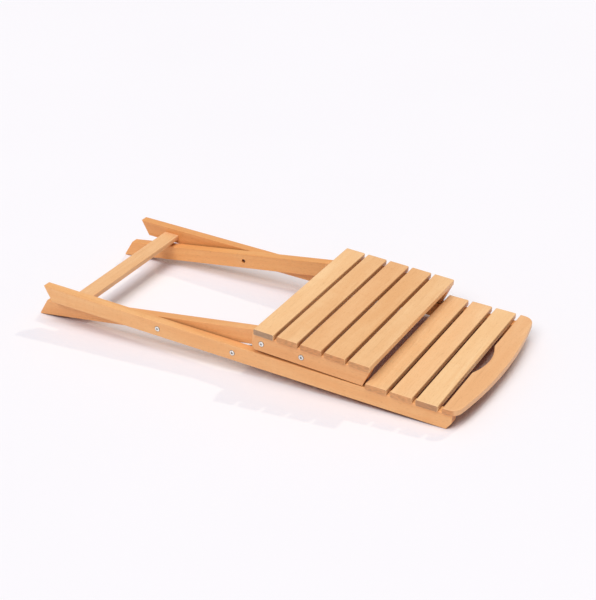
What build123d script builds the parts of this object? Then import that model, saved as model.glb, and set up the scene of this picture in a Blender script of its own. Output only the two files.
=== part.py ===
from build123d import *
from math import atan2, cos, degrees, radians, sin, tan
import os

# Folding slatted wooden chair, folded flat and lying on its back. Millimetres.
# Layout before it is laid down: X runs along the back posts from foot to top, Z is
# square to their front face (Z = 0), Y runs across the chair and is zero at the middle.

# Rails and legs
POST_THICK = 19.0
RAIL_HEIGHT = 33.5
HALF_WIDTH = 185.0
LAYER_GAP = 3.0
POST_LENGTH = 919.5
POST_END_EASE_X = 10.5
POST_END_EASE_Z = 15.5
RAIL_EDGE = 1.4
CORNER_ROUND = 2.0
SEAT_RAIL_NOSE = 9.0

# Feet, cut level for the opened chair
POST_FLOOR_ANGLE = 60.9
LEG_FLOOR_ANGLE = 50.0
LEG_FOOT_REACH = 326.1

# Pivots in the back frame
LEG_PIVOT_X = 282.6
LINK_ANCHOR_X = 457.2
PIVOT_Z = -RAIL_HEIGHT / 2

# Seat frame, measured from the rear bottom corner of its rails
SEAT_REAR_X = 738.5
SEAT_TILT = 1.39
SEAT_RAIL_LENGTH = 236.8
SEAT_RAIL_BOTTOM = 1.6
SEAT_RAIL_HEIGHT = 36.2
SEAT_RAIL_SLANT = 21.2
SEAT_PIVOT_X = -216.2
LINK_PIVOT_X = -129.5
SEAT_PIVOT_Z = 18.8

# Slats
SLAT_WIDTH = 43.4
SLAT_THICK = 13.0
SLAT_LENGTH = 381.0
SLAT_EDGE = 2.6
SLAT_END_EDGE = 1.2
SEAT_SLATS = 5
SEAT_SLAT_START = -231.4
SEAT_SLAT_PITCH = 50.7
BACK_SLATS = 3
BACK_SLAT_START = 746.4
BACK_SLAT_PITCH = 51.2

# Crest rail with its finger notch
CREST_START = 901.5
CREST_DEPTH = 47.0
CREST_END_DEPTH = 28.0
CREST_CORNER = 24.0
CREST_EDGE = 2.2
NOTCH_HALF = 54.0
NOTCH_DEPTH = 12.0
NOTCH_LIP = 14.0

# Foot stretcher between the back posts
STRETCHER_X = 63.0
STRETCHER_WIDTH = 36.0
STRETCHER_THICK = 12.0
STRETCHER_TOP = -12.3
STRETCHER_EDGE = 2.5

# Dowels
SLAT_DOWEL_R = 3.0
SLAT_DOWEL_SPREAD = 10.0
DOWEL_IN_SLAT = 8.0
DOWEL_IN_RAIL = 12.0
CREST_DOWEL_R = 4.0
CREST_DOWEL_X = 910.3
STRETCHER_DOWEL_R = 4.0
STRETCHER_DOWEL_SPREAD = 9.0
DOWEL_IN_STRETCHER = 20.0

# Metal fittings
BOLT_R = 3.0
HEAD_R = 5.4
HEAD_HEIGHT = 2.0
HEAD_ROUND = 1.0
HEAD_SEAT = 1.0
HEAD_RIM = 0.7
SOCKET_FLATS = 4.0
SOCKET_DEPTH = 1.4
SLEEVE_R = 4.5
SLEEVE_INSET = 6.0
SLEEVE_SOCKET_FLATS = 5.0
SLEEVE_SOCKET_DEPTH = 4.0
BOLT_SHORT_OF_LEG = 11.5
RUNNING_CLEARANCE = 0.05
FACE_CLEARANCE = 0.3
SPACER_R = 8.0
ANCHOR_R = 2.5
LINK_WIDTH = 16.0
LINK_THICK = 2.0
LINK_FACE_GAP = 0.5
RIVET_R = 4.0
RIVET_PROUD = 0.2
NUT_FLATS = 10.0
NUT_THICK = 4.0
BOLT_PAST_NUT = 0.8

# Layers across the width, given on the +Y side
OUTER_Y = HALF_WIDTH
POST_IN_Y = OUTER_Y - POST_THICK
LEG_OUT_Y = POST_IN_Y - LAYER_GAP
LEG_IN_Y = LEG_OUT_Y - POST_THICK
POST_MID_Y = OUTER_Y - POST_THICK / 2

seat_place = Pos(SEAT_REAR_X, 0, 0) * Rot(0, SEAT_TILT, 0)


def seat_point(x, z):
    """Point of the seat frame, given in the back frame."""
    spot = (seat_place * Pos(x, 0, z)).position
    return spot.X, spot.Z


LEG_PIVOT = (LEG_PIVOT_X, PIVOT_Z)
LINK_ANCHOR = (LINK_ANCHOR_X, PIVOT_Z)
SEAT_PIVOT = seat_point(SEAT_PIVOT_X, SEAT_PIVOT_Z)
LINK_PIVOT = seat_point(LINK_PIVOT_X, SEAT_PIVOT_Z)


def slope(start, end):
    """Angle in degrees of the line from start to end, in the XZ plane."""
    return degrees(atan2(end[1] - start[1], end[0] - start[0]))


def span(start, end):
    """Distance from start to end, in the XZ plane."""
    return ((end[0] - start[0]) ** 2 + (end[1] - start[1]) ** 2) ** 0.5


LEG_ANGLE = slope(LEG_PIVOT, SEAT_PIVOT)
LEG_SPAN = span(LEG_PIVOT, SEAT_PIVOT)
LINK_SPAN = span(LINK_ANCHOR, LINK_PIVOT)
LINK_ANGLE = slope(LINK_ANCHOR, LINK_PIVOT)


def plate(outline, y_in, y_out):
    """Sketch of XZ shape made solid from y_in to y_out on the +Y side."""
    return extrude(Plane.XZ.offset(-y_out) * outline, amount=y_out - y_in)


def rod(radius, x, z, y_in, y_out):
    """Round bar along Y."""
    return Pos(x, (y_in + y_out) / 2, z) * Rot(90, 0, 0) * Cylinder(radius, y_out - y_in)


def hex_bar(flats, x, z, y_in, y_out):
    """Six-sided bar along Y."""
    shape = Pos(x, z) * RegularPolygon(flats / 2, 6, major_radius=False)
    return plate(shape, y_in, y_out)


def round_corner(outline, x, z, radius):
    """Round the corner of a sketch nearest to a point."""
    corner = outline.vertices().sort_by_distance((x, z, 0))[0]
    return fillet(corner, radius)


def soften_faces(bar):
    """Round the edges of the two side faces of a bar."""
    sides = bar.faces().filter_by(Axis.Y)
    rims = sides.sort_by(Axis.Y)[0].edges() + sides.sort_by(Axis.Y)[-1].edges()
    return fillet(rims, RAIL_EDGE)


def bolt_seat(radius, x, z):
    """Hole for a bolt, with a shallow round seat for its head."""
    seat = rod(HEAD_R + HEAD_RIM, x, z, OUTER_Y - HEAD_SEAT, OUTER_Y)
    return seat + rod(radius, x, z, POST_IN_Y, OUTER_Y)


def mirrored(shape):
    """The same shape on the -Y side."""
    return mirror(shape, about=Plane.XZ)


def back_post():
    """Long rail: front foot at X = 0, backrest end at the top."""
    end_x = POST_LENGTH - POST_END_EASE_X
    end_z = POST_END_EASE_Z - RAIL_HEIGHT
    foot_x = RAIL_HEIGHT / tan(radians(POST_FLOOR_ANGLE))
    corners = [
        (0, 0),
        (POST_LENGTH, 0),
        (POST_LENGTH, end_z),
        (end_x, -RAIL_HEIGHT),
        (foot_x, -RAIL_HEIGHT),
    ]
    outline = make_face(Polyline(*corners, close=True))
    for x, z in corners[2:4]:
        outline = round_corner(outline, x, z, CORNER_ROUND)
    bar = soften_faces(plate(outline, POST_IN_Y, OUTER_Y))
    bar -= bolt_seat(BOLT_R, *LEG_PIVOT)
    bar -= bolt_seat(ANCHOR_R, *LINK_ANCHOR)
    return bar


def rear_leg():
    """Short rail: rear foot at one end, rounded about the seat pivot at the other."""
    half = RAIL_HEIGHT / 2
    heel = -LEG_FOOT_REACH
    toe = heel + RAIL_HEIGHT / tan(radians(LEG_FLOOR_ANGLE))
    corners = [(heel, -half), (LEG_SPAN, -half), (LEG_SPAN, half), (toe, half)]
    outline = make_face(Polyline(*corners, close=True))
    outline = outline + Pos(LEG_SPAN, 0) * Circle(half)
    outline = round_corner(outline, heel, -half, CORNER_ROUND)
    bar = soften_faces(plate(outline, LEG_IN_Y, LEG_OUT_Y))
    hole = SLEEVE_R + RUNNING_CLEARANCE
    bar -= rod(hole, 0, 0, LEG_IN_Y, LEG_OUT_Y)
    bar -= rod(hole, LEG_SPAN, 0, LEG_IN_Y, LEG_OUT_Y)
    return Pos(LEG_PIVOT[0], 0, LEG_PIVOT[1]) * Rot(0, -LEG_ANGLE, 0) * bar


def seat_rail():
    """Side rail of the seat, slanted at the rear to meet the back post."""
    top = SEAT_RAIL_BOTTOM + SEAT_RAIL_HEIGHT
    rear_top = SEAT_RAIL_HEIGHT * tan(radians(SEAT_RAIL_SLANT))
    corners = [
        (-SEAT_RAIL_LENGTH, SEAT_RAIL_BOTTOM),
        (0, SEAT_RAIL_BOTTOM),
        (rear_top, top),
        (-SEAT_RAIL_LENGTH, top),
    ]
    outline = make_face(Polyline(*corners, close=True))
    outline = round_corner(outline, -SEAT_RAIL_LENGTH, SEAT_RAIL_BOTTOM, SEAT_RAIL_NOSE)
    bar = soften_faces(plate(outline, POST_IN_Y, OUTER_Y))
    bar -= bolt_seat(BOLT_R, SEAT_PIVOT_X, SEAT_PIVOT_Z)
    bar -= bolt_seat(BOLT_R, LINK_PIVOT_X, SEAT_PIVOT_Z)
    return bar


def slat(start, base):
    """Cross slat with softened edges, its underside at base."""
    middle = Pos(start + SLAT_WIDTH / 2, 0, base + SLAT_THICK / 2)
    board = Box(SLAT_WIDTH, SLAT_LENGTH, SLAT_THICK)
    board = fillet(board.edges().filter_by(Axis.Y), SLAT_EDGE)
    ends = board.faces().filter_by(Axis.Y)
    board = fillet(ends[0].edges() + ends[1].edges(), SLAT_END_EDGE)
    return middle * board


def slat_dowels(start, base):
    """The four upright dowels of one slat, two in each rail."""
    middle = start + SLAT_WIDTH / 2
    tall = DOWEL_IN_SLAT + DOWEL_IN_RAIL
    level = base + DOWEL_IN_SLAT - tall / 2
    pins = []
    for x in (middle - SLAT_DOWEL_SPREAD, middle + SLAT_DOWEL_SPREAD):
        for y in (-POST_MID_Y, POST_MID_Y):
            pins.append(Pos(x, y, level) * Cylinder(SLAT_DOWEL_R, tall))
    return pins


def crest_dowels():
    """One upright dowel at each end of the crest rail."""
    tall = DOWEL_IN_SLAT + DOWEL_IN_RAIL
    level = DOWEL_IN_SLAT - tall / 2
    pins = []
    for y in (-POST_MID_Y, POST_MID_Y):
        pins.append(Pos(CREST_DOWEL_X, y, level) * Cylinder(CREST_DOWEL_R, tall))
    return pins


def stretcher_dowels():
    """Two lying dowels at each end of the foot stretcher."""
    middle = STRETCHER_X + STRETCHER_WIDTH / 2
    level = STRETCHER_TOP - STRETCHER_THICK / 2
    y_in = POST_IN_Y - DOWEL_IN_STRETCHER
    y_out = POST_IN_Y + DOWEL_IN_RAIL
    pins = []
    for x in (middle - STRETCHER_DOWEL_SPREAD, middle + STRETCHER_DOWEL_SPREAD):
        pin = rod(STRETCHER_DOWEL_R, x, level, y_in, y_out)
        pins += [pin, mirrored(pin)]
    return pins


def crest():
    """Top rail of the backrest: bowed outer edge, round corners, finger notch."""
    half = SLAT_LENGTH / 2
    end_x = CREST_START + CREST_END_DEPTH
    peak = (CREST_START + CREST_DEPTH, 0)
    bow = ThreePointArc((end_x, half), peak, (end_x, -half))
    rest = Polyline((end_x, -half), (CREST_START, -half), (CREST_START, half), (end_x, half))
    outline = make_face(bow + rest)
    for y in (half, -half):
        outline = round_corner(outline, end_x, y, CREST_CORNER)
    deepest = (CREST_START + NOTCH_DEPTH, 0)
    lips = [(CREST_START, -NOTCH_HALF), (CREST_START, NOTCH_HALF)]
    notch = make_face(ThreePointArc(lips[0], deepest, lips[1]) + Line(lips[1], lips[0]))
    outline -= notch
    for x, y in lips:
        outline = round_corner(outline, x, y, NOTCH_LIP)
    board = extrude(outline, amount=SLAT_THICK)
    faces = board.faces().filter_by(Axis.Z)
    return fillet(faces[0].edges() + faces[1].edges(), CREST_EDGE)


def stretcher():
    """Flat board between the back posts near their feet."""
    middle_x = STRETCHER_X + STRETCHER_WIDTH / 2
    middle_z = STRETCHER_TOP - STRETCHER_THICK / 2
    board = Box(STRETCHER_WIDTH, 2 * POST_IN_Y, STRETCHER_THICK)
    board = fillet(board.edges().filter_by(Axis.Y), STRETCHER_EDGE)
    return Pos(middle_x, 0, middle_z) * board


def bolt(radius, x, z, y_in):
    """Round-headed bolt from the outside of the chair, ending at y_in."""
    under = OUTER_Y - HEAD_SEAT
    top = under + HEAD_HEIGHT
    head = rod(HEAD_R, x, z, under, top)
    rim = head.edges().filter_by(GeomType.CIRCLE).sort_by(Axis.Y)[-1]
    head = fillet(rim, HEAD_ROUND)
    head -= hex_bar(SOCKET_FLATS, x, z, top - SOCKET_DEPTH, top)
    return head + rod(radius, x, z, y_in, under)


def sleeve(x, z):
    """Sleeve nut that a leg turns on, with a hexagon socket in its inner end."""
    y_in = LEG_IN_Y + SLEEVE_INSET
    body = rod(SLEEVE_R, x, z, y_in, POST_IN_Y)
    body -= rod(BOLT_R, x, z, LEG_IN_Y + BOLT_SHORT_OF_LEG, POST_IN_Y)
    body -= hex_bar(SLEEVE_SOCKET_FLATS, x, z, y_in, y_in + SLEEVE_SOCKET_DEPTH)
    return body


def spacer(x, z):
    """Washer that keeps a leg off the rail beside it."""
    y_in = LEG_OUT_Y + FACE_CLEARANCE
    return rod(SPACER_R, x, z, y_in, POST_IN_Y) - rod(SLEEVE_R, x, z, y_in, POST_IN_Y)


def nut(x, z):
    """Hexagon nut on the inner end of a link bolt."""
    y_out = POST_IN_Y - LINK_FACE_GAP - LINK_THICK - FACE_CLEARANCE
    y_in = y_out - NUT_THICK
    return hex_bar(NUT_FLATS, x, z, y_in, y_out) - rod(BOLT_R, x, z, y_in, y_out)


def link_bolt(x, z):
    """Bolt that a link turns on."""
    link_in = POST_IN_Y - LINK_FACE_GAP - LINK_THICK
    return bolt(BOLT_R, x, z, link_in - FACE_CLEARANCE - NUT_THICK - BOLT_PAST_NUT)


def link():
    """Flat steel link from the back post to the seat rail."""
    y_out = POST_IN_Y - LINK_FACE_GAP
    y_in = y_out - LINK_THICK
    outline = Pos(LINK_SPAN / 2, 0) * SlotCenterToCenter(LINK_SPAN, LINK_WIDTH)
    bar = plate(outline, y_in, y_out)
    bar -= rod(RIVET_R, 0, 0, y_in, y_out)
    bar -= rod(BOLT_R + RUNNING_CLEARANCE, LINK_SPAN, 0, y_in, y_out)
    return Pos(LINK_ANCHOR[0], 0, LINK_ANCHOR[1]) * Rot(0, -LINK_ANGLE, 0) * bar


def rivet():
    """Short rivet in the lower eye of a link."""
    y_out = POST_IN_Y - LINK_FACE_GAP
    y_in = y_out - LINK_THICK - RIVET_PROUD
    return rod(RIVET_R, *LINK_ANCHOR, y_in, y_out + RIVET_PROUD)


def pair(shape):
    """A shape and its mirror image, kept as two solids."""
    return [shape, mirrored(shape)]


parts = {}

# Back frame
back_pins = crest_dowels()
post_right = back_post()
post_left = mirrored(post_right)
for number in range(BACK_SLATS):
    start = BACK_SLAT_START + number * BACK_SLAT_PITCH
    pins = slat_dowels(start, 0)
    parts[f"back_slat_{number + 1}"] = slat(start, 0) - pins
    back_pins += pins
low_pins = stretcher_dowels()
parts["crest_rail"] = crest() - crest_dowels()
parts["foot_stretcher"] = stretcher() - low_pins
parts["back_post_right"] = post_right - back_pins - low_pins
parts["back_post_left"] = post_left - back_pins - low_pins
parts["back_dowels"] = back_pins
parts["stretcher_dowels"] = low_pins
parts["leg_pivot_bolts"] = pair(bolt(BOLT_R, *LEG_PIVOT, LEG_IN_Y + BOLT_SHORT_OF_LEG))
parts["leg_pivot_sleeves"] = pair(sleeve(*LEG_PIVOT))
parts["leg_pivot_spacers"] = pair(spacer(*LEG_PIVOT))
parts["link_anchor_screws"] = pair(bolt(ANCHOR_R, *LINK_ANCHOR, POST_IN_Y))

# Rear legs
leg_right = rear_leg()
parts["rear_leg_right"] = leg_right
parts["rear_leg_left"] = mirrored(leg_right)

# Seat
seat_top = SEAT_RAIL_BOTTOM + SEAT_RAIL_HEIGHT
seat_pins = []
for number in range(SEAT_SLATS):
    start = SEAT_SLAT_START + number * SEAT_SLAT_PITCH
    pins = slat_dowels(start, seat_top)
    parts[f"seat_slat_{number + 1}"] = seat_place * (slat(start, seat_top) - pins)
    seat_pins += pins
rail_right = seat_rail()
parts["seat_rail_right"] = seat_place * (rail_right - seat_pins)
parts["seat_rail_left"] = seat_place * (mirrored(rail_right) - seat_pins)
parts["seat_dowels"] = [seat_place * pin for pin in seat_pins]
parts["seat_pivot_bolts"] = pair(bolt(BOLT_R, *SEAT_PIVOT, LEG_IN_Y + BOLT_SHORT_OF_LEG))
parts["seat_pivot_sleeves"] = pair(sleeve(*SEAT_PIVOT))
parts["seat_pivot_spacers"] = pair(spacer(*SEAT_PIVOT))
parts["link_pivot_bolts"] = pair(link_bolt(*LINK_PIVOT))
parts["link_pivot_nuts"] = pair(nut(*LINK_PIVOT))

# Links
link_right = link()
parts["link_right"] = link_right
parts["link_left"] = mirrored(link_right)
parts["link_rivets"] = pair(rivet())


def resting_angle():
    """Lean that puts the rear feet and the tops of the posts on the floor together."""
    heel_back = CORNER_ROUND / tan(radians(LEG_FLOOR_ANGLE / 2))
    heel_x = heel_back - LEG_FOOT_REACH
    heel_z = CORNER_ROUND - RAIL_HEIGHT / 2
    lean = radians(LEG_ANGLE)
    foot_x = LEG_PIVOT[0] + heel_x * cos(lean) - heel_z * sin(lean)
    foot_z = LEG_PIVOT[1] + heel_x * sin(lean) + heel_z * cos(lean)
    ease = atan2(POST_END_EASE_Z, POST_END_EASE_X)
    top_x = POST_LENGTH - POST_END_EASE_X - CORNER_ROUND * tan(ease / 2)
    top_z = CORNER_ROUND - RAIL_HEIGHT
    return slope((foot_x, foot_z), (top_x, top_z))


def solids_of(item):
    """Every separate solid of a part."""
    items = item if isinstance(item, list) else [item]
    found = []
    for shape in items:
        found += shape.solids()
    return found


# Lay the chair down, centre it and stand it on Z = 0
laid = Rot(0, resting_angle(), 0)
flat = {name: [laid * solid for solid in solids_of(item)] for name, item in parts.items()}
boxes = [solid.bounding_box() for group in flat.values() for solid in group]
low_x = min(box.min.X for box in boxes)
high_x = max(box.max.X for box in boxes)
low_z = min(box.min.Z for box in boxes)
stand = Pos(-(low_x + high_x) / 2, 0, -low_z)

os.makedirs("parts", exist_ok=True)
for name, group in flat.items():
    placed = [stand * solid for solid in group]
    shape = placed[0] if len(placed) == 1 else Compound(placed)
    export_step(shape, f"parts/{name}.step")

placing = stand * laid
pivots = {
    "leg pivot": LEG_PIVOT,
    "link anchor": LINK_ANCHOR,
    "seat pivot": SEAT_PIVOT,
    "link pivot": LINK_PIVOT,
}
for name, (x, z) in pivots.items():
    spot = (placing * Pos(x, 0, z)).position
    print(f"{name}: x {spot.X:.3f}, z {spot.Z:.3f}")
print(f"lean {resting_angle():.4f}, leg angle {LEG_ANGLE:.4f}")
corner = placing.position
print(f"back frame corner: x {corner.X:.3f}, z {corner.Z:.3f}")
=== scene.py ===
from collections import namedtuple
from math import cos, radians, sin

import bpy
from mathutils import Matrix, Vector


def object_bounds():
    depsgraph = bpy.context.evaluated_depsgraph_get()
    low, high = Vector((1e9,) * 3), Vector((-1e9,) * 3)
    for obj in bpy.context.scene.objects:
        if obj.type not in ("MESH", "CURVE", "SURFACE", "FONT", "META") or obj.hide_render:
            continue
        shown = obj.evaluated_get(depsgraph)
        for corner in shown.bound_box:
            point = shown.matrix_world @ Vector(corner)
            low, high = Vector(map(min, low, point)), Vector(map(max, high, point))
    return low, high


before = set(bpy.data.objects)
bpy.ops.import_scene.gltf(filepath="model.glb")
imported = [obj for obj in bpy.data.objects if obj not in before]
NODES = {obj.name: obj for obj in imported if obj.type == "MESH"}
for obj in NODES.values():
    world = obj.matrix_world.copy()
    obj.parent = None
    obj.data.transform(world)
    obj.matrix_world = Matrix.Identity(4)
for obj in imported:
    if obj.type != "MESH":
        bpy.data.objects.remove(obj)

CAD_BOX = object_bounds()

# Camera, at the picture's viewing angle. Angles in degrees, lens and sensor in millimetres
VIEW_AZIMUTH = 30.5
VIEW_ELEVATION = 28.47
VIEW_ROLL = -2.32
VIEW_DISTANCE = 2.799
VIEW_AIM = Vector((0.0242, 0.0353, 0.0562))
LENS = 82.75
SENSOR_WIDTH = 36.0
CLIP_END = 50.0

# Distant lights: azimuth, elevation and spread in degrees, strength, colour
LIGHTS = {
    "overhead": (60.0, 77.0, 36.0, 1.18, (1.0, 0.985, 0.98)),
    "front": (0.0, 48.0, 30.0, 1.20, (1.0, 0.985, 0.97)),
    "behind": (160.0, 46.0, 2.0, 0.46, (1.0, 0.98, 0.72)),
}
LIGHT_DISTANCE = 3.0

# Surroundings: the sky lights the chair, and the backdrop is what the camera sees in its place
SKY_COLOUR = (0.97, 0.97, 1.0, 1.0)
SKY_STRENGTH = 0.335
BACKDROP_COLOUR = (0.975, 0.956, 0.982, 1.0)

# Floor. Its painted shade colours the floor under the chair, where the chair closes it in
FLOOR_HALF = 12.0
FLOOR_CLOUDS = (1.5, 1.5, 1.5)
FLOOR_TONES = ((0.90, 0.888, 0.942), (0.92, 0.908, 0.962))
FLOOR_SHADE = (0.27, 0.085, 0.05)
FLOOR_SHADE_STRENGTH = 0.96
FLOOR_ROUGHNESS = 0.85
FLOOR_SPECULAR = 0.1

# How the folded parts lean from the X axis, and how the grain turns from it, in degrees
BACK_LEAN = 3.27
LEG_LEAN = -6.37
SEAT_LEAN = 4.66
ACROSS = 90.0

# Wood colours: light, middle and dark grain
SLAT_TONES = ((0.93, 0.575, 0.295), (0.86, 0.475, 0.215), (0.50, 0.230, 0.085))
FRAME_TONES = ((0.90, 0.482, 0.205), (0.84, 0.392, 0.145), (0.48, 0.190, 0.060))
DOWEL_TONES = ((0.82, 0.58, 0.34), (0.76, 0.50, 0.28), (0.55, 0.30, 0.14))

# What the middle tone is multiplied by at end grain, and the dark tone for the painted shade in
# gaps
END_TINT = (0.80, 0.63, 0.50)
GAP_SHADE_TINT = (0.55, 0.34, 0.20)

# Boards: node, material, noise seed, lean and tint. These have the grain across the chair
CROSS_BOARDS = (
    ("seat_slat_1", "seat_slat_1_beech", 4.0, SEAT_LEAN, (1.03, 1.09, 1.14)),
    ("seat_slat_2", "seat_slat_2_beech", 5.0, SEAT_LEAN, (0.97, 0.96, 0.95)),
    ("seat_slat_3", "seat_slat_3_beech", 6.0, SEAT_LEAN, (0.95, 0.90, 0.87)),
    ("seat_slat_4", "seat_slat_4_beech", 7.0, SEAT_LEAN, (0.94, 0.89, 0.84)),
    ("seat_slat_5", "seat_slat_5_beech", 8.0, SEAT_LEAN, (0.98, 1.0, 1.02)),
    ("back_slat_1", "back_slat_1_beech", 12.0, BACK_LEAN, (0.98, 0.99, 1.0)),
    ("back_slat_2", "back_slat_2_beech", 13.0, BACK_LEAN, (1.02, 1.05, 1.10)),
    ("back_slat_3", "back_slat_3_beech", 14.0, BACK_LEAN, (1.03, 1.11, 1.17)),
    ("crest_rail", "crest_beech", 21.0, BACK_LEAN, (0.96, 0.91, 0.90)),
    ("foot_stretcher", "stretcher_beech", 23.0, BACK_LEAN, (0.97, 0.96, 0.98)),
)
# Boards with end grain of another colour than their own: one is weathered grey, one darker
END_COLOURS = {"seat_slat_1": (0.36, 0.22, 0.14), "back_slat_3": (0.46, 0.20, 0.085)}
# Boards with the grain along the chair
LONG_BOARDS = (
    ("back_post_left", "back_post_left_beech", 31.0, BACK_LEAN, (1.0, 1.03, 1.04)),
    ("back_post_right", "back_post_right_beech", 32.0, BACK_LEAN, (0.93, 0.84, 0.72)),
    ("rear_leg_left", "rear_leg_left_beech", 41.0, LEG_LEAN, (0.98, 0.95, 0.92)),
    ("rear_leg_right", "rear_leg_right_beech", 42.0, LEG_LEAN, (0.99, 0.94, 0.82)),
    ("seat_rail_left", "seat_rail_left_beech", 51.0, SEAT_LEAN, (0.97, 0.94, 0.92)),
    ("seat_rail_right", "seat_rail_right_beech", 52.0, SEAT_LEAN, (0.97, 0.94, 0.92)),
)
DOWELS = ("back_dowels", "stretcher_dowels", "seat_dowels")
DOWEL_SEED = 61.0

# Share of open surroundings at which the painted shade in gaps ends. Frame pieces lie against
# each other, so theirs is lower
SLAT_OPENNESS = 0.58
FRAME_OPENNESS = 0.36

# Grain layers. The noise scale is per metre: along the grain, then twice across it. A layer
# starts where its noise is low, is full where it is high, and covers by its strength
Layer = namedtuple("Layer", "scale detail rough twist low high strength")
BANDS = Layer((2.4, 60.0, 60.0), 4.0, 0.55, 0.9, 0.30, 0.72, 0.75)
PATCHES = Layer((5.0, 22.0, 22.0), 2.0, 0.5, 0.5, 0.38, 0.68, 0.55)
CURL = Layer((75.0, 20.0, 20.0), 2.0, 0.5, 0.4, 0.45, 0.72, 0.30)
LINES = Layer((1.2, 170.0, 170.0), 3.0, 0.5, 0.5, 0.60, 0.72, 0.16)
STREAKS = Layer((9.0, 520.0, 520.0), 5.0, 0.6, 0.0, 0.50, 0.74, 0.13)
FLECKS = Layer((130.0, 1150.0, 1150.0), 1.0, 0.4, 0.0, 0.60, 0.72, 0.30)
PORE_SCALE = (420.0, 3000.0, 3000.0)
RING_SCALE = (30.0, 130.0, 320.0)
SCUFF_SCALE = (40.0, 90.0, 90.0)
# How far a board's seed moves it through the noise, along each axis
SEED_STEP = (0.731, 1.273, 0.417)
# End grain's dark rings, as a share of its light ones
RING_SHADE = 0.72

# Gloss and relief of the wood: what streaks, flecks and pores add to roughness and to height
WOOD_SPECULAR = 0.45
WOOD_ROUGHNESS, STREAK_ROUGHNESS, FLECK_ROUGHNESS = 0.34, 0.16, 0.25
STREAK_HEIGHT, PORE_HEIGHT, FLECK_DEPTH = 0.5, 0.5, 1.2

# Steel and nylon. Dull, highlight and pale tones are the colour times a factor. The highlight tone
# is a painted highlight on steel edges; the pale tone gives nylon its paler clouds and a painted
# highlight on its edges
ZINC_COLOUR = (0.93, 0.92, 0.88)
ROLLED_COLOUR = (0.62, 0.62, 0.63)
# Near-black painted shade for the recesses of steel parts
RECESS_SHADE_COLOUR = (0.012, 0.010, 0.009)
NYLON_COLOUR = (0.030, 0.028, 0.027)
FINE_SCRATCHES = (900.0, 900.0, 900.0)
ROLLED_SCRATCHES = (60.0, 900.0, 1400.0)
SPOT_SCALE = (160.0, 160.0, 160.0)
MOULD_SCALE = (1400.0, 1400.0, 1400.0)
NYLON_CLOUDS = (90.0, 90.0, 90.0)
STEEL_DULL, STEEL_HIGHLIGHT, NYLON_PALE = 0.72, 1.15, 1.6
STEEL_ROUGHNESS, SCRATCH_ROUGHNESS = 0.34, 0.22
NYLON_ROUGHNESS, MOULD_ROUGHNESS = 0.45, 0.2
ZINC_NODES = (
    "leg_pivot_bolts", "leg_pivot_sleeves", "seat_pivot_bolts", "seat_pivot_sleeves",
    "link_anchor_screws", "link_pivot_bolts", "link_pivot_nuts", "link_rivets",
)
ROLLED_NODES = ("link_left", "link_right")
NYLON_NODES = ("leg_pivot_spacers", "seat_pivot_spacers")

# Colour sockets of a mix node, which has one set of sockets for each kind of value
MIX_FIRST, MIX_SECOND, MIX_RESULT = 6, 7, 2


def tinted(colour, tint):
    """Colour with each channel multiplied by its own factor."""
    return tuple(channel * factor for channel, factor in zip(colour, tint))


def toned(colour, factor):
    """Colour with every channel multiplied by one factor and held to 1."""
    return tuple(min(1.0, channel * factor) for channel in colour)


def direction(azimuth, elevation):
    """Unit vector away from the chair, from degrees. Azimuth 0 is -Y and 90 is +X."""
    turn, rise = radians(azimuth), radians(elevation)
    return Vector((sin(turn) * cos(rise), -cos(turn) * cos(rise), sin(rise)))


def link_all(tree, pairs):
    """Join node sockets, given as (output, input) pairs."""
    for out, into in pairs:
        tree.links.new(out, into)


def new_node(tree, kind, **settings):
    """Add a node. Each setting is a property of the node, or else an input (_ for a space)."""
    node = tree.nodes.new(kind)
    for key, value in settings.items():
        if hasattr(node, key):
            setattr(node, key, value)
        else:
            node.inputs[key.replace("_", " ")].default_value = value
    return node


def maths(tree, operation, first, second=None):
    """Output of a maths node. Each operand is a socket or a number."""
    node = new_node(tree, "ShaderNodeMath", operation=operation)
    for slot, value in enumerate((first, second)):
        if value is None:
            continue
        if isinstance(value, (int, float)):
            node.inputs[slot].default_value = value
        else:
            tree.links.new(value, node.inputs[slot])
    return node.outputs[0]


def scaled(tree, value, factor):
    """Value times a factor."""
    return maths(tree, "MULTIPLY", value, factor)


def plus(tree, base, value, factor):
    """Base plus a value times a factor."""
    return maths(tree, "ADD", base, scaled(tree, value, factor))


def ramp(tree, value, low, high):
    """Value brought smoothly from 0 at low to 1 at high."""
    node = new_node(tree, "ShaderNodeMapRange", interpolation_type="SMOOTHSTEP",
                    From_Min=low, From_Max=high)
    tree.links.new(value, node.inputs["Value"])
    return node.outputs["Result"]


def blend_colours(tree, amount, first, second):
    """Mix two colours, each a socket or a plain colour, by an amount from 0 to 1."""
    node = new_node(tree, "ShaderNodeMix", data_type="RGBA")
    tree.links.new(amount, node.inputs["Factor"])
    for slot, value in ((MIX_FIRST, first), (MIX_SECOND, second)):
        if isinstance(value, tuple):
            node.inputs[slot].default_value = (*value, 1.0)
        else:
            tree.links.new(value, node.inputs[slot])
    return node.outputs[MIX_RESULT]


def cover(tree, base, tone, mask, strength):
    """Base colour with a tone over it where the mask is 1, as opaque as its strength."""
    return blend_colours(tree, scaled(tree, mask, strength), base, tone)


def noise(tree, coords, scale, detail=2.0, rough=0.5, twist=0.0):
    """Noise value, with its own scale along each axis."""
    stretch = new_node(tree, "ShaderNodeVectorMath", operation="MULTIPLY")
    stretch.inputs[1].default_value = scale
    node = new_node(tree, "ShaderNodeTexNoise",
                    Scale=1.0, Detail=detail, Roughness=rough, Distortion=twist)
    link_all(tree, [(coords, stretch.inputs[0]), (stretch.outputs[0], node.inputs["Vector"])])
    return node.outputs["Fac"]


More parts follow.
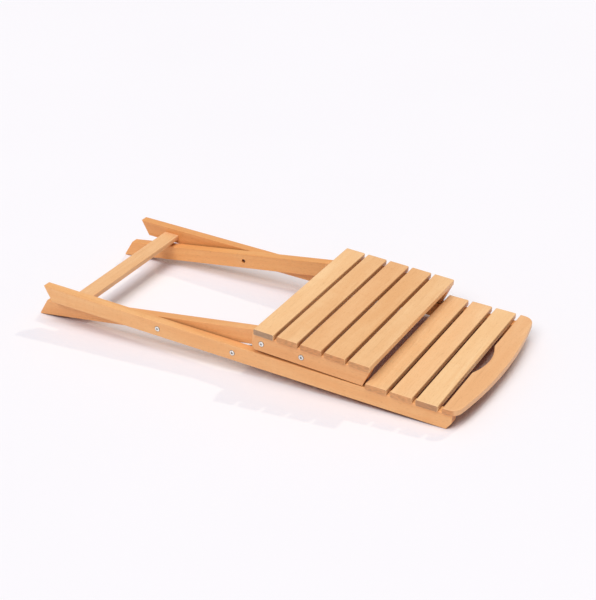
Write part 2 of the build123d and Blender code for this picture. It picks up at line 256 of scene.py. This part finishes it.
def edge_mask(tree, radius):
    """1 on the edges of a piece, 0 on its flats."""
    bevel = new_node(tree, "ShaderNodeBevel", samples=6, Radius=radius)
    flat = new_node(tree, "ShaderNodeNewGeometry")
    dot = new_node(tree, "ShaderNodeVectorMath", operation="DOT_PRODUCT")
    link_all(tree, [
        (bevel.outputs["Normal"], dot.inputs[0]),
        (flat.outputs["Normal"], dot.inputs[1]),
    ])
    return ramp(tree, maths(tree, "SUBTRACT", 1.0, dot.outputs["Value"]), low=0.01, high=0.12)


def painted_shade_mask(tree, reach, closed, open_at):
    """Painted shade mask: 1 in gaps no wider than reach (metres), 0 where the share of open
    surroundings is high.
    """
    shade = new_node(tree, "ShaderNodeAmbientOcclusion", samples=8, Distance=reach)
    return maths(tree, "SUBTRACT", 1.0, ramp(tree, shade.outputs["AO"], closed, open_at))


def new_material(name):
    """Empty material. Returns it with its tree and shader."""
    made = bpy.data.materials.new(name)
    made.use_nodes = True
    tree = made.node_tree
    return made, tree, tree.nodes["Principled BSDF"]


def object_coords(tree):
    """Coordinates in the piece's own space, in metres."""
    return new_node(tree, "ShaderNodeTexCoord").outputs["Object"]


def wire_surface(tree, shader, colour, rough, height, strength, depth):
    """Connect a shader's colour and roughness, and a height as bump of some depth (metres)."""
    bump = new_node(tree, "ShaderNodeBump", Strength=strength, Distance=depth)
    link_all(tree, [
        (height, bump.inputs["Height"]),
        (bump.outputs["Normal"], shader.inputs["Normal"]),
        (colour, shader.inputs["Base Color"]),
        (rough, shader.inputs["Roughness"]),
    ])


def grain_coords(tree, seed, turn, lean):
    """Coordinates and normal with X along the grain: turn is about Z, lean is about Y."""
    rotation = (0.0, radians(lean), radians(turn))
    where = new_node(tree, "ShaderNodeTexCoord")
    mapping = new_node(tree, "ShaderNodeMapping", vector_type="TEXTURE", Rotation=rotation,
                       Location=tuple(seed * step for step in SEED_STEP))
    facing = new_node(tree, "ShaderNodeVectorRotate", rotation_type="EULER_XYZ", invert=True,
                      Rotation=rotation)
    link_all(tree, [
        (where.outputs["Object"], mapping.inputs["Vector"]),
        (where.outputs["Normal"], facing.inputs["Vector"]),
    ])
    return mapping.outputs["Vector"], facing.outputs["Vector"]


def lay_grain(tree, coords, base, tone, layer):
    """Cover a colour with one grain layer. Returns the colour, the noise and the amount."""
    value = noise(tree, coords, layer.scale, layer.detail, layer.rough, layer.twist)
    amount = scaled(tree, ramp(tree, value, layer.low, layer.high), layer.strength)
    return blend_colours(tree, amount, base, tone), value, amount


def lay_end_grain(tree, coords, normal, base, tone):
    """Cover a colour with end grain where the surface is cut across the grain."""
    split = new_node(tree, "ShaderNodeSeparateXYZ")
    tree.links.new(normal, split.inputs[0])
    cut = ramp(tree, maths(tree, "ABSOLUTE", split.outputs[0]), low=0.75, high=0.95)
    rings = ramp(tree, noise(tree, coords, RING_SCALE, detail=3.0), low=0.35, high=0.7)
    end_tone = blend_colours(tree, rings, tone, toned(tone, RING_SHADE))
    return cover(tree, base, end_tone, cut, strength=0.85)


def lay_wear_and_shade(tree, coords, base, worn_tone, gap_shade_tone, openness):
    """Cover a colour with pale rubbed edges and painted shade in the gaps."""
    scuffs = ramp(tree, noise(tree, coords, SCUFF_SCALE, detail=3.0), low=0.42, high=0.62)
    rubbed = maths(tree, "MULTIPLY", edge_mask(tree, radius=0.0022), scuffs)
    base = cover(tree, base, worn_tone, rubbed, strength=0.35)
    # Painted shade: gaps between boards darkened towards the dark tone where little of the
    # surroundings is open
    gap_shade = painted_shade_mask(tree, reach=0.016, closed=0.06, open_at=openness)
    return cover(tree, base, gap_shade_tone, gap_shade, strength=0.86)


def wood(name, tones, seed, turn=0.0, lean=0.0, tint=(1.0, 1.0, 1.0), end_colour=None,
         openness=SLAT_OPENNESS):
    """Oiled beech: layered grain, end grain, worn edges, painted shade in the gaps and a fine
    relief.
    """
    light, middle, dark = [tinted(tone, tint) for tone in tones]
    made, tree, shader = new_material(name)
    coords, normal = grain_coords(tree, seed, turn, lean)

    base = light
    for layer in (BANDS, PATCHES, CURL):
        base, _, _ = lay_grain(tree, coords, base, middle, layer)
    base, _, _ = lay_grain(tree, coords, base, dark, LINES)
    base, streaks, _ = lay_grain(tree, coords, base, dark, STREAKS)
    base, _, flecks = lay_grain(tree, coords, base, dark, FLECKS)
    base = lay_end_grain(tree, coords, normal, base, end_colour or tinted(middle, END_TINT))
    # Pale worn edges, then painted shade in the gaps
    base = lay_wear_and_shade(tree, coords, base, light, tinted(dark, GAP_SHADE_TINT), openness)

    rough = plus(tree, WOOD_ROUGHNESS, streaks, STREAK_ROUGHNESS)
    rough = plus(tree, rough, flecks, FLECK_ROUGHNESS)
    pores = noise(tree, coords, PORE_SCALE)
    height = plus(tree, scaled(tree, streaks, STREAK_HEIGHT), pores, PORE_HEIGHT)
    height = maths(tree, "SUBTRACT", height, scaled(tree, flecks, FLECK_DEPTH))
    wire_surface(tree, shader, base, rough, height, strength=0.35, depth=0.0003)
    shader.inputs["Specular IOR Level"].default_value = WOOD_SPECULAR
    return made


def metal(name, colour, scratch_scale):
    """Zinc-plated or rolled steel: fine scratches, dull spots, a painted highlight on the edges and
    painted shade in recesses.
    """
    made, tree, shader = new_material(name)
    where = object_coords(tree)
    dull = toned(colour, STEEL_DULL)
    spots = ramp(tree, noise(tree, where, SPOT_SCALE, detail=3.0), low=0.40, high=0.72)
    base = blend_colours(tree, spots, colour, dull)
    scratches = noise(tree, where, scratch_scale, detail=4.0, rough=0.65)
    base = cover(tree, base, dull, ramp(tree, scratches, low=0.5, high=0.7), strength=0.3)
    # Painted highlight: the rounded edges lightened
    edge_highlight = toned(colour, STEEL_HIGHLIGHT)
    base = cover(tree, base, edge_highlight, edge_mask(tree, radius=0.0005), strength=0.6)
    # Painted shade: recesses such as sockets darkened nearly to black
    recess_shade = painted_shade_mask(tree, reach=0.004, closed=0.40, open_at=0.72)
    base = cover(tree, base, RECESS_SHADE_COLOUR, recess_shade, strength=0.97)
    rough = plus(tree, STEEL_ROUGHNESS, scratches, SCRATCH_ROUGHNESS)
    wire_surface(tree, shader, base, rough, scratches, strength=0.2, depth=0.00008)
    shader.inputs["Metallic"].default_value = 1.0
    return made


def plastic(name, colour):
    """Dark moulded washer: fine mould texture, paler clouds and a painted highlight on the edges.
    """
    made, tree, shader = new_material(name)
    where = object_coords(tree)
    pale = toned(colour, NYLON_PALE)
    base = cover(tree, colour, pale, noise(tree, where, NYLON_CLOUDS), strength=0.4)
    # Painted highlight: the edges lightened to the pale tone
    base = cover(tree, base, pale, edge_mask(tree, radius=0.0006), strength=0.5)
    mould = noise(tree, where, MOULD_SCALE, detail=3.0)
    rough = plus(tree, NYLON_ROUGHNESS, mould, MOULD_ROUGHNESS)
    wire_surface(tree, shader, base, rough, mould, strength=0.15, depth=0.0001)
    return made


def dress(nodes, finish):
    """Give CAD nodes one material."""
    for node in nodes:
        mesh = NODES[node].data
        mesh.materials.clear()
        mesh.materials.append(finish)


def dress_chair():
    """Every node's material. Each board has its own grain and a slightly different tone."""
    for node, name, seed, lean, tint in CROSS_BOARDS:
        end_colour = END_COLOURS.get(node)
        dress([node], wood(name, SLAT_TONES, seed, ACROSS, lean, tint, end_colour))
    for node, name, seed, lean, tint in LONG_BOARDS:
        finish = wood(name, FRAME_TONES, seed, lean=lean, tint=tint, openness=FRAME_OPENNESS)
        dress([node], finish)
    dress(DOWELS, wood("dowel_beech", DOWEL_TONES, DOWEL_SEED))
    dress(ZINC_NODES, metal("zinc_plate", ZINC_COLOUR, FINE_SCRATCHES))
    dress(ROLLED_NODES, metal("rolled_steel", ROLLED_COLOUR, ROLLED_SCRATCHES))
    dress(NYLON_NODES, plastic("dark_nylon", NYLON_COLOUR))


def distant_light(name, azimuth, elevation, spread, strength, colour):
    """Even light from far away. Directions and spread are in degrees."""
    lamp = bpy.data.lights.new(name, "SUN")
    lamp.angle = radians(spread)
    lamp.energy = strength
    lamp.color = colour
    item = bpy.data.objects.new(name, lamp)
    bpy.context.collection.objects.link(item)
    away = direction(azimuth, elevation)
    item.location = away * LIGHT_DISTANCE
    item.rotation_euler = away.to_track_quat("Z", "Y").to_euler()


def light_studio():
    """Bright, even studio: pale surroundings, two wide soft lights and a crisp one from behind."""
    world = bpy.data.worlds.new("studio")
    world.use_nodes = True
    bpy.context.scene.world = world
    tree = world.node_tree
    sky = tree.nodes["Background"]
    sky.inputs["Color"].default_value = SKY_COLOUR
    sky.inputs["Strength"].default_value = SKY_STRENGTH
    backdrop = new_node(tree, "ShaderNodeBackground", Color=BACKDROP_COLOUR)
    seen = new_node(tree, "ShaderNodeLightPath")
    chosen = new_node(tree, "ShaderNodeMixShader")
    link_all(tree, [
        (seen.outputs["Is Camera Ray"], chosen.inputs[0]),
        (sky.outputs[0], chosen.inputs[1]),
        (backdrop.outputs[0], chosen.inputs[2]),
        (chosen.outputs[0], tree.nodes["World Output"].inputs["Surface"]),
    ])
    for name, settings in LIGHTS.items():
        distant_light(name, *settings)
    bpy.context.scene.view_settings.view_transform = "Standard"


def lay_floor():
    """Plain pale floor, with painted shade where the chair closes it in, level with the underside
    of the folded chair.
    """
    corners = [(x * FLOOR_HALF, y * FLOOR_HALF, 0) for x, y in ((-1, -1), (1, -1), (1, 1), (-1, 1))]
    mesh = bpy.data.meshes.new("floor")
    mesh.from_pydata(corners, [], [(0, 1, 2, 3)])
    floor = bpy.data.objects.new("floor", mesh)
    bpy.context.collection.objects.link(floor)
    made, tree, shader = new_material("floor_paper")
    pale = blend_colours(tree, noise(tree, object_coords(tree), FLOOR_CLOUDS), *FLOOR_TONES)
    # Painted shade: the floor under and beside the chair darkened towards red-brown where little of
    # the surroundings is open
    under_chair_shade = painted_shade_mask(tree, reach=0.25, closed=0.05, open_at=0.52)
    pale = cover(tree, pale, FLOOR_SHADE, under_chair_shade, FLOOR_SHADE_STRENGTH)
    tree.links.new(pale, shader.inputs["Base Color"])
    shader.inputs["Roughness"].default_value = FLOOR_ROUGHNESS
    shader.inputs["Specular IOR Level"].default_value = FLOOR_SPECULAR
    mesh.materials.append(made)
    floor.location.z = CAD_BOX[0][2]


def place_camera():
    """Camera at the picture's angle, rolled as the picture is."""
    away = direction(VIEW_AZIMUTH, VIEW_ELEVATION)
    azimuth, roll = radians(VIEW_AZIMUTH), radians(VIEW_ROLL)
    level = Vector((cos(azimuth), sin(azimuth), 0.0))
    above = away.cross(level)
    right = level * cos(roll) + above * sin(roll)
    up = away.cross(right)
    lens = bpy.data.cameras.new("camera")
    lens.sensor_fit = "HORIZONTAL"
    lens.sensor_width = SENSOR_WIDTH
    lens.lens = LENS
    lens.clip_end = CLIP_END
    camera = bpy.data.objects.new("camera", lens)
    bpy.context.collection.objects.link(camera)
    turn = Matrix((right, up, away)).transposed()
    camera.matrix_world = Matrix.Translation(VIEW_AIM + away * VIEW_DISTANCE) @ turn.to_4x4()
    bpy.context.scene.camera = camera


dress_chair()
light_studio()
lay_floor()
place_camera()
